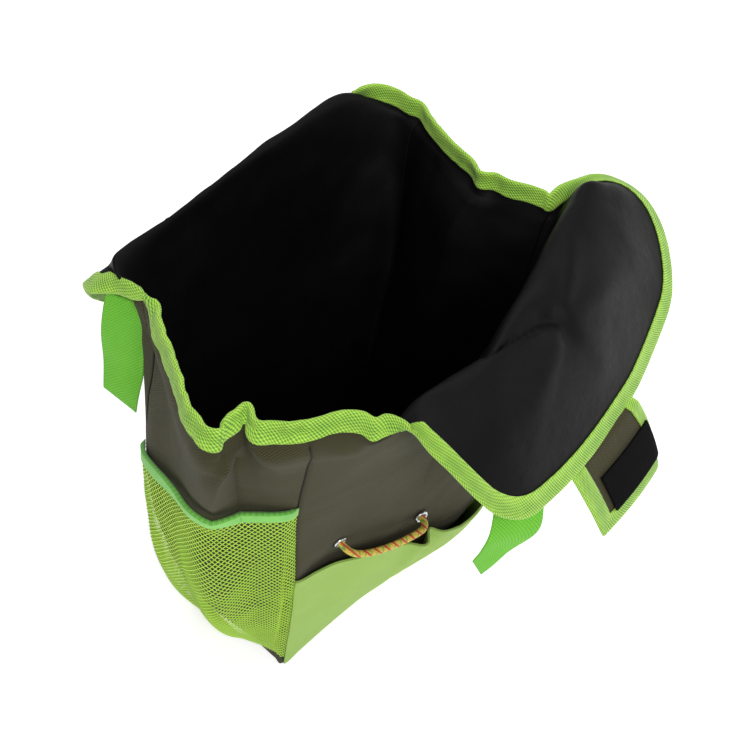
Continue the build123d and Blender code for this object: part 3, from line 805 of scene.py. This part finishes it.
def strands(surface):
    """Vertices and faces of both sets of slanting strands over a surface."""
    x, y = travel(surface, 1), travel(surface, 0)
    wide, tall = x[-1], y[-1]
    ways = grid_normals(surface)
    slope = MESH_TALL / MESH_WIDE
    steps = np.arange(0, tall / slope + MESH_WIDE / 2, MESH_WIDE / 2)
    vertices, faces = [], []
    ring = STRAND_SIDES
    for lean in (1, -1):
        for start in np.arange(-tall / slope, wide + tall / slope, MESH_WIDE):
            px = start + lean * steps
            py = steps * slope
            keep = (px >= 0) & (px <= wide) & (py <= tall)
            if keep.sum() < 2:
                continue
            column = np.interp(px[keep], x, np.arange(len(x)))
            row = np.interp(py[keep], y, np.arange(len(y)))
            line = grid_read(surface, row, column)
            way = unit(grid_read(ways, row, column))
            line = line + way * (STRAND_OFF * lean)
            along = unit(np.gradient(line, axis=0))
            aside = unit(np.cross(along, way))
            base = len(vertices) * ring
            for k in range(len(line)):
                turn = [line[k] + STRAND * (math.cos(q) * way[k] + math.sin(q) * aside[k])
                        for q in (math.pi * (2 * m + 1) / ring for m in range(ring))]
                vertices.append(turn)
            faces += tube_faces(len(line), ring, base)
    return np.array(vertices).reshape(-1, 3), faces


def make_mesh_pocket(side, first, last, mouth, ripples):
    surface = make_mesh_surface(first, last, mouth, ripples)
    vertices, faces = strands(surface)
    netting = make_object("netting_" + side, vertices * MM, faces, np.zeros((len(vertices), 2)),
                          MATERIALS["netting"])
    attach(netting, BAG)
    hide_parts("mesh_pocket_" + side)
    ways = grid_normals(surface)
    y = travel(surface, 0)
    levels = np.linspace(y[-1] - ELASTIC_HEIGHT, y[-1] + ELASTIC_PAST, ELASTIC_ROWS)
    rows = np.interp(levels, y, np.arange(len(y)))
    count = surface.shape[1]
    band = np.array([grid_read(surface, np.full(count, r), np.arange(count)) for r in rows])
    out = np.array([unit(grid_read(ways, np.full(count, r), np.arange(count))) for r in rows])
    roll = np.linspace(0, 1, ELASTIC_ROWS)[:, None, None] ** 3
    pinch = np.sin(math.pi * np.linspace(0, 1, count)) * PINCH_STEEP
    pinch = np.clip(pinch, PINCH_LEAST, 1)[None, :, None]
    face = band + out * pinch * (ELASTIC_OFF + TAPE + ROLL_OUT * roll)
    back = band - out * pinch * (ELASTIC_OFF + ROLL_IN * roll)
    elastic = sheet_object("elastic_" + side, face, back, cloth_uv(face), MATERIALS["elastic"])
    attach(elastic, BAG)
    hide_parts("pocket_elastic_" + side)


# --- front pocket ---
FRONT_POCKET_MOUTH = [(0, 152), (0.2, 150), (0.38, 146), (0.46, 143), (0.52, 130), (0.6, 114),
                      (0.8, 104), (1, 102)]
PLEAT_AT, PLEAT_WIDE, PLEAT_DEEP = 0.455, 0.020, 9.0
PLEAT_BACK, PLEAT_STEP = 0.7, 0.045      # the pleat's hollow, beside its ridge
COLUMN_RUNS = ((0, 0.38, 50), (0.384, 0.56, 60), (0.57, 1, 46))      # closest at the pleat
POCKET_ROWS = 70
POCKET_SEAM = 3.0         # height of the pocket's foot
POCKET_OFF, POCKET_LEAST, POCKET_MORE, POCKET_POWER = 0.5, 0.6, 11, 0.7
POCKET_HALF = 0.6         # half the pocket cloth's thickness
HEM, HEM_STITCHED, HEM_UNDER = 8.0, 0.62, 0.61


def make_front_pocket():
    s = np.concatenate([np.linspace(*run) for run in COLUMN_RUNS])
    top = np.interp(s, *zip(*FRONT_POCKET_MOUTH))
    across, height = np.meshgrid(s, np.linspace(0, 1, POCKET_ROWS))
    z = POCKET_SEAM + (top[None, :] - POCKET_SEAM) * height
    places, ways = wall_at(RIGHT_FRONT * across, z)
    belly = POCKET_LEAST + POCKET_MORE * hump(across, 0, 1, POCKET_POWER) * height ** POCKET_POWER
    pleat = (bump(across, PLEAT_AT, PLEAT_WIDE)
             - PLEAT_BACK * bump(across, PLEAT_AT + PLEAT_STEP, PLEAT_WIDE))
    depth = POCKET_OFF + OUTER_CLOTH + belly + PLEAT_DEEP * pleat * height ** 2.5
    middle = places + ways * depth[..., None]
    ways = grid_normals(middle)
    face, back = middle + ways * POCKET_HALF, middle - ways * POCKET_HALF
    pocket = sheet_object("front_pocket_cloth", clear_of_floor(face), clear_of_floor(back),
                          cloth_uv(face), MATERIALS["pocket"])
    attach(pocket, BAG)
    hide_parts("front_pocket")
    rise = travel(middle, 0)
    first = int(np.searchsorted(rise, rise[-1] - HEM))
    band, out = middle[first:], ways[first:]
    swell = np.full(band.shape[:2] + (1,), POCKET_HALF + TAPE * 0.8)
    swell[0] = HEM_STITCHED
    hem = sheet_object("front_pocket_hem_fold", band + out * swell, band + out * HEM_UNDER,
                       cloth_uv(band), MATERIALS["pocket"])
    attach(hem, BAG)
    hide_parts("front_pocket_hem")


# --- cord ---
CORD_ROUTE = [(-54, -68, 168), (-56, -78, 166), (-46, -87, 160), (-24, -96, 157), (0, -103, 157),
              (15, -105, 158), (18, -94, 158)]
EYELET_RADIUS, EYELET_WIRE, EYELET_OUT = 4.9, 1.3, 1.2
KNOT_RADIUS, KNOT_IN = 5, 10


def finish_round(name, material):
    """Name, smooth and fix to the bag the round piece that was added last."""
    piece = bpy.context.object
    piece.name = name
    piece.data.materials.append(material)
    piece.data.polygons.foreach_set("use_smooth", [True] * len(piece.data.polygons))
    bpy.ops.object.transform_apply(location=True, rotation=True, scale=True)
    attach(piece, BAG)
    return piece


def make_cord():
    curve = bpy.data.curves.new("cord_loop", "CURVE")
    curve.dimensions = "3D"
    curve.resolution_u = 16
    curve.bevel_depth = CORD_DIAMETER / 2 * MM
    curve.bevel_resolution = 5
    curve.use_fill_caps = True
    spline = curve.splines.new("NURBS")
    spline.points.add(len(CORD_ROUTE) - 1)
    for point, place in zip(spline.points, CORD_ROUTE):
        point.co = [c * MM for c in place] + [1]
    spline.order_u = 3
    spline.use_endpoint_u = True
    cord = bpy.data.objects.new("cord_loop", curve)
    curve.materials.append(MATERIALS["cord"])
    bpy.context.collection.objects.link(cord)
    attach(cord, BAG)
    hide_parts("utility_cord")
    eyelets, knots = [], []
    for name, end, beside in (("near", CORD_ROUTE[0], CORD_ROUTE[1]),
                              ("far", CORD_ROUTE[-1], CORD_ROUTE[-2])):
        out = (Vector(beside) - Vector(end)).normalized()
        bpy.ops.mesh.primitive_torus_add(
            major_radius=EYELET_RADIUS * MM, minor_radius=EYELET_WIRE * MM, major_segments=40,
            minor_segments=12, location=(Vector(end) + out * EYELET_OUT) * MM,
            rotation=out.to_track_quat("Z", "Y").to_euler())
        eyelets.append(finish_round("eyelet_" + name, MATERIALS["metal"]))
        bpy.ops.mesh.primitive_uv_sphere_add(radius=KNOT_RADIUS * MM, segments=24, ring_count=16,
                                             location=(Vector(end) - out * KNOT_IN) * MM)
        knots.append(finish_round("knot_" + name, MATERIALS["cord"]))
    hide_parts("cord_eyelets")
    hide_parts("cord_knots")


# --- closure tab ---
TAB_LEFT, TAB_RIGHT = np.array((42.0, -200, 290)), np.array((136.0, -191, 289))
TAB_DROP = np.array((14.0, -35, -54))
TAB_TAPER, TAB_BULGE = 3.0, 5.0
TAB_LONG, TAB_DEEP, TAB_LEAF = 94.0, 66.0, 12.5
TAB_ROOT = -0.2           # where the tab starts, under the flap's binding
TAB_HALF = 0.7            # half the tab cloth's thickness
TRIM_STEPS, TRIM_ROWS, TRIM_OFF = 40, 6, 0.9
TRIM_TURN = (0.6, 1.57, 2.5)      # radians
PATCH_OFF, PATCH_TOP = 1.9, 3.4


def tab_grid(f, g):
    """Places on the tab: f runs along its sewn edge, g from that edge to its free end."""
    along = unit(TAB_RIGHT - TAB_LEFT)
    f, g = np.meshgrid(f, g)
    left = TAB_LEFT + g[..., None] * (TAB_DROP + along * TAB_TAPER)
    bulge = TAB_BULGE * np.sin(math.pi * np.clip((g + 0.25) / 1.25, 0, 1))
    right = TAB_RIGHT + g[..., None] * (TAB_DROP + along * TAB_TAPER) + along * bulge[..., None]
    flat = left + (right - left) * f[..., None]
    out = unit(np.cross(along, TAB_DROP))
    if out[2] < 0:
        out = -out
    curl = -5 * np.clip((f - 0.86) / 0.14, 0, 1) ** 2 * np.clip(g, 0, 1)
    curl += 3 * np.sin(math.pi * f) - 4 * g ** 2 - 45 * np.maximum(-g, 0)
    return flat + out * curl[..., None]


def tab_surface(f, g):
    """Part of the tab, with its columns in the order that turns its ways upwards."""
    places = tab_grid(f, g)
    if grid_normals(places)[0, 0, 2] < 0:
        places = places[:, ::-1]
    return places, grid_normals(places)


def tab_points(shares):
    return np.array([tab_grid(np.array([f]), np.array([g]))[0, 0] for f, g in shares])


def trim_path():
    """Pairs of shares on the tab's edge and on its tape's inner edge, round three sides."""
    f, g = TAB_LEAF / TAB_LONG, TAB_LEAF / TAB_DEEP
    path = []
    for outer, inner in (([(0, TAB_ROOT), (0, 1)], [(f, TAB_ROOT), (f, 1 - g)]),
                         ([(0, 1), (1, 1)], [(f, 1 - g), (1 - f, 1 - g)]),
                         ([(1, 1), (1, TAB_ROOT)], [(1 - f, 1 - g), (1 - f, TAB_ROOT)])):
        for k in range(TRIM_STEPS + 1):
            p = np.array(outer[0]) + (np.array(outer[1]) - outer[0]) * (k / TRIM_STEPS)
            q = np.array(inner[0]) + (np.array(inner[1]) - inner[0]) * (k / TRIM_STEPS)
            if not path or k:
                path.append((p, q))
    return path


def make_closure_tab():
    places, ways = tab_surface(np.linspace(0, 1, 60), np.linspace(TAB_ROOT, 1, 50))
    cloth = sheet_object("closure_tab_cloth", places + ways * TAB_HALF, places - ways * TAB_HALF,
                         cloth_uv(places), MATERIALS["oxford"])
    path = trim_path()
    rows = [tab_points([q + (p - q) * share for p, q in path])
            for share in np.linspace(0, 1, TRIM_ROWS)]
    way = ways[20, 30] if ways[20, 30][2] > 0 else -ways[20, 30]
    top = [row + way * TRIM_OFF for row in rows]
    under = [row - way * TRIM_OFF for row in rows[::-1]]
    outward = unit(rows[-1] - rows[-2])
    rounds = [rows[-1] + way * (TRIM_OFF * math.cos(a)) + outward * (TRIM_OFF * math.sin(a))
              for a in TRIM_TURN]
    inner_skin = np.array(top + rounds + under)
    out = unit(np.cross(np.gradient(inner_skin, axis=1), np.gradient(inner_skin, axis=0)))
    if out[0, 10].dot(way) < 0:
        inner_skin = inner_skin[:, ::-1]
        out = unit(np.cross(np.gradient(inner_skin, axis=1), np.gradient(inner_skin, axis=0)))
    skin = inner_skin + out * TAPE
    trim = sheet_object("closure_tab_tape", skin, inner_skin, cloth_uv(skin), MATERIALS["binding"])
    places, ways = tab_surface(np.linspace(0.2, 0.95, 30), np.linspace(0.28, 0.84, 20))
    patch = sheet_object("hook_tape_patch", places + ways * PATCH_TOP, places + ways * PATCH_OFF,
                         cloth_uv(places), MATERIALS["hook"])
    for piece, node in ((cloth, "closure_tab"), (trim, "closure_tab_binding"),
                        (patch, "hook_patch")):
        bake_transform(piece)
        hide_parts(node)


# --- straps ---
# Each strap's two edges at its sewn end, part way down and at its free end.
STRAPS = {
    "front_left": (FRONT_FLAP, [
        ((-29, -180, 302), (4, -199, 300)), ((-37, -185, 282), (-3, -205, 272)),
        ((-43, -186, 268), (-20, -193, 250)), ((-48, -184, 258), (-36, -187, 232))]),
    "front_right": (FRONT_FLAP, [
        ((207, -150, 300), (233, -124, 312)), ((205, -148, 278), (230, -122, 290)),
        ((203, -144, 238), (228, -118, 250))]),
    "back_left": (BACK_FLAP, [
        ((-117, 124, 350), (-104, 92, 350)), ((-122, 126, 318), (-108, 93, 318)),
        ((-122, 127, 290), (-111, 93, 285)), ((-127, 124, 253), (-120, 95, 241))]),
    "back_right": (BAG, [
        ((188, 132, 374), (198, 96, 366)), ((190, 134, 333), (201, 98, 326)),
        ((189, 134, 292), (200, 98, 284))]),
}


STRAP_ROWS, STRAP_COLUMNS = 50, 24
STRAP_WAVE, STRAP_WAVE_SIZE = 1.4, 30


def make_straps():
    for name, (body, edges) in STRAPS.items():
        data = np.array(edges, float)
        places = np.arange(len(data), dtype=float)
        down = np.linspace(0, len(data) - 1, STRAP_ROWS)
        left = hermite(places, data[:, 0], down)
        right = hermite(places, data[:, 1], down)
        share = np.linspace(0, 1, STRAP_COLUMNS)[None, :, None]
        grid = left[:, None] + (right - left)[:, None] * share
        ways = grid_normals(grid)
        waves = smooth_noise(grid, STRAP_WAVE_SIZE, len(name))
        grid = grid + ways * (STRAP_WAVE * waves[..., None])
        face, back = grid + ways * (TAPE / 2), grid - ways * (TAPE / 2)
        uv = spread(np.linspace(0, STRAP_WIDTH, STRAP_COLUMNS), travel(grid, 0))
        strap = sheet_object("webbing_" + name, face, back, uv, MATERIALS["strap"])
        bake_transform(strap)
        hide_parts("strap_" + name)


# --- base and hidden pieces ---
def dress_hidden_pieces():
    """Pieces that stay as solids get their finish."""
    finishes = {"base_panel": "oxford", "base_lining": "lining", "base_board": "lining",
                "loop_patch": "hook"}
    for node, finish in finishes.items():
        mesh = bpy.data.objects[node].data
        mesh.materials.clear()
        mesh.materials.append(MATERIALS[finish])


# --- camera, floor and light ---
def make_camera():
    angles = (CAMERA_AZIMUTH, CAMERA_ELEVATION, CAMERA_ROLL)
    azimuth, elevation, roll = (math.radians(angle) for angle in angles)
    back = Vector((math.sin(azimuth) * math.cos(elevation),
                   -math.cos(azimuth) * math.cos(elevation), math.sin(elevation)))
    level_right = Vector((math.cos(azimuth), math.sin(azimuth), 0))
    level_up = back.cross(level_right)
    right = level_right * math.cos(roll) + level_up * math.sin(roll)
    up = back.cross(right)
    camera = bpy.data.objects.new("camera", bpy.data.cameras.new("camera"))
    camera.data.lens = CAMERA_LENS
    camera.data.sensor_width = SENSOR
    camera.data.clip_start = 0.01
    place = Matrix((right, up, back)).transposed().to_4x4()
    place.translation = Vector(CAMERA_PLACE) * MM
    camera.matrix_world = place
    bpy.context.collection.objects.link(camera)
    bpy.context.scene.camera = camera


LIGHTS = (("key", (-0.9, -1.4, 2.0), 0.8, 27), ("top", (0.6, 0.5, 2.4), 1.5, 23),
          ("fill", (1.6, -1.2, 1.2), 1.2, 8))      # place and size in metres, power in watts
LIGHTS_AIM = (0.05, 0, 0.25)
WORLD_STRENGTH = 0.42
FLOOR_REACH, FLOOR_GLOW = 6.0, 0.5


def area_light(name, place, size, power):
    light = bpy.data.lights.new(name, "AREA")
    light.energy = power
    light.size = size
    obj = bpy.data.objects.new(name, light)
    obj.location = place
    direction = Vector(LIGHTS_AIM) - Vector(place)
    obj.rotation_euler = direction.to_track_quat("-Z", "Y").to_euler()
    bpy.context.collection.objects.link(obj)


def make_studio():
    world = bpy.data.worlds.new("studio")
    world.use_nodes = True
    background = world.node_tree.nodes["Background"]
    background.inputs["Color"].default_value = (1, 1, 1, 1)
    background.inputs["Strength"].default_value = WORLD_STRENGTH
    bpy.context.scene.world = world
    bpy.context.scene.view_settings.view_transform = "Standard"
    for light in LIGHTS:
        area_light(*light)
    floor_mesh = bpy.data.meshes.new("floor")
    corners = [(x * FLOOR_REACH, y * FLOOR_REACH, 0) for x, y in ((-1, -1), (1, -1), (1, 1), (-1, 1))]
    floor_mesh.from_pydata(corners, [], [(0, 1, 2, 3)])
    floor = bpy.data.objects.new("floor", floor_mesh)
    floor_mesh.materials.append(plain("floor", "F2F2F2", 0.9, Emission_Color=(1, 1, 1, 1),
                                      Emission_Strength=FLOOR_GLOW))
    bpy.context.collection.objects.link(floor)


make_camera()
make_cord()
make_walls()
for seam_name, seam_u in (("near_front", NEAR_FRONT), ("right_front", RIGHT_FRONT),
                          ("right_back", RIGHT_BACK), ("left_back", LEFT_BACK)):
    make_seam(seam_name, seam_u)
make_bindings()
make_mesh_pocket("left", LEFT_BACK, ROUND, LEFT_MOUTH, LEFT_FOLDS)
make_mesh_pocket("right", RIGHT_FRONT, RIGHT_BACK, RIGHT_MOUTH, RIGHT_FOLDS)
make_front_pocket()
make_closure_tab()
make_straps()
dress_hidden_pieces()
make_studio()
